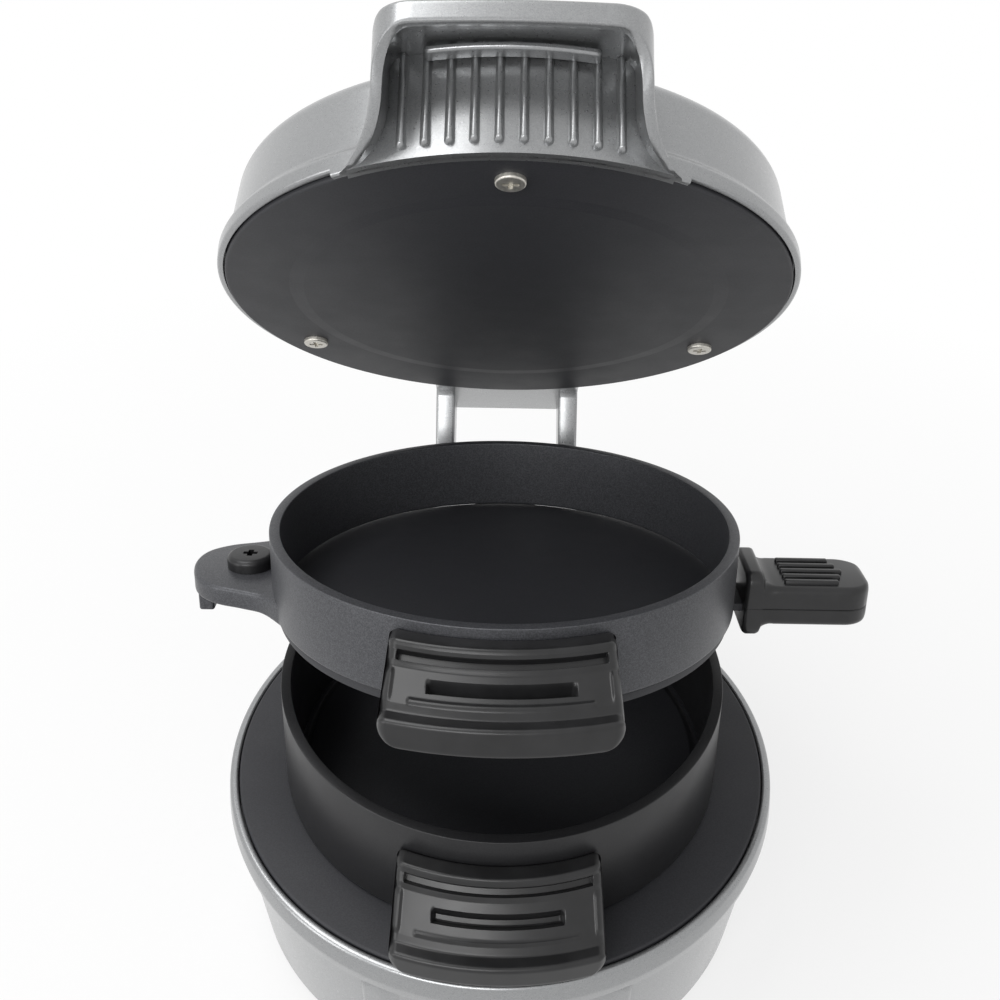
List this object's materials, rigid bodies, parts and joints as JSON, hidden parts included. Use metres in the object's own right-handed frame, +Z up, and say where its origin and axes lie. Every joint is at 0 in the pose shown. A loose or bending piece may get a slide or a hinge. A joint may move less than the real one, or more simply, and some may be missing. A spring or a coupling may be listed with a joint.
{
  "type": "breakfast sandwich maker",
  "caption": "Round hinged sandwich cooker: heated base, two rings with front handles, swinging cooking plate and a hooded, ribbed cover.",
  "frame": {"origin": "on the surface that the feet stand on, straight under the middle of the lower heating plate", "axes": "+Z up, +X to the user's right, +Y to the back; the handles point to -Y and the hinge line lies along X"},
  "size_m": [0.164, 0.1842, 0.2359],
  "materials": {
    "silver_plastic": "metallic silver moulded plastic with a fine sparkle",
    "dark_plastic": "plain moulded plastic",
    "black_plastic": "satin black heat-resistant moulded plastic",
    "coated_plate": "cast aluminium with a dark non-stick coating",
    "coated_ring": "cast aluminium with a smooth dark coating",
    "grey_ring": "cast aluminium with a dark grey metallic coating",
    "black_metal": "black oxide steel",
    "steel": "plain steel",
    "element_sheath": "drawn steel sheath, dulled by heat",
    "bare_aluminium": "bright pressed sheet",
    "rubber": "plain rubber",
    "white_plastic": "plain moulded plastic",
    "board": "plain laminate",
    "red_lens": "clear coloured plastic",
    "green_lens": "clear coloured plastic",
    "lamp_glass": "clear"
  },
  "bodies": {
    "base": {"base_shell": "silver_plastic", "base_floor": "dark_plastic", "feet": "rubber", "floor_screws": "steel", "lower_heating_plate": "coated_plate", "lower_heating_element": "element_sheath", "base_heat_shield": "bare_aluminium", "base_shield_screws": "steel", "thermostat": "steel", "thermal_fuse": "steel", "terminal_block": "white_plastic", "power_lens": "red_lens", "preheat_lens": "green_lens", "lamp_board": "board", "indicator_lamps": "lamp_glass", "cord_gland": "rubber", "hinge_bracket": "silver_plastic", "bracket_screws": "steel", "hinge_pin": "steel"},
    "lower_ring": {"lower_ring": "coated_ring", "lower_ring_handle": "black_plastic", "lower_handle_screws": "steel"},
    "egg_ring": {"egg_ring": "grey_ring", "egg_ring_handle": "black_plastic", "egg_handle_screws": "steel", "pivot_screw": "black_metal", "pivot_nut": "steel"},
    "cooking_plate": {"cooking_plate": "coated_plate", "plate_handle": "black_plastic"},
    "cover": {"cover_shell": "silver_plastic", "cover_heating_plate": "coated_plate", "cover_plate_screws": "steel", "cover_heating_element": "element_sheath", "cover_heat_shield": "bare_aluminium", "cover_shield_screws": "steel", "cover_thermal_fuse": "steel"}
  },
  "joints": [
    {"name": "lower_ring_hinge", "type": "hinge", "parent": "base", "child": "lower_ring", "pos_m": [0, 0.085, 0.076], "axis": [-1, 0, 0], "range_deg": [0, 20]},
    {"name": "egg_ring_hinge", "type": "hinge", "parent": "lower_ring", "child": "egg_ring", "pos_m": [0, 0.085, 0.076], "axis": [-1, 0, 0], "range_deg": [-13.8, 11.2]},
    {"name": "cover_hinge", "type": "hinge", "parent": "egg_ring", "child": "cover", "pos_m": [0, 0.085, 0.076], "axis": [-1, 0, 0], "range_deg": [-36.1, 28.9]},
    {"name": "plate_swivel", "type": "hinge", "parent": "egg_ring", "child": "cooking_plate", "pos_m": [-0.0615, 0.00317, 0.09919], "axis": [0, -0.2385, -0.9711], "range_deg": [0, 120]}
  ]
}
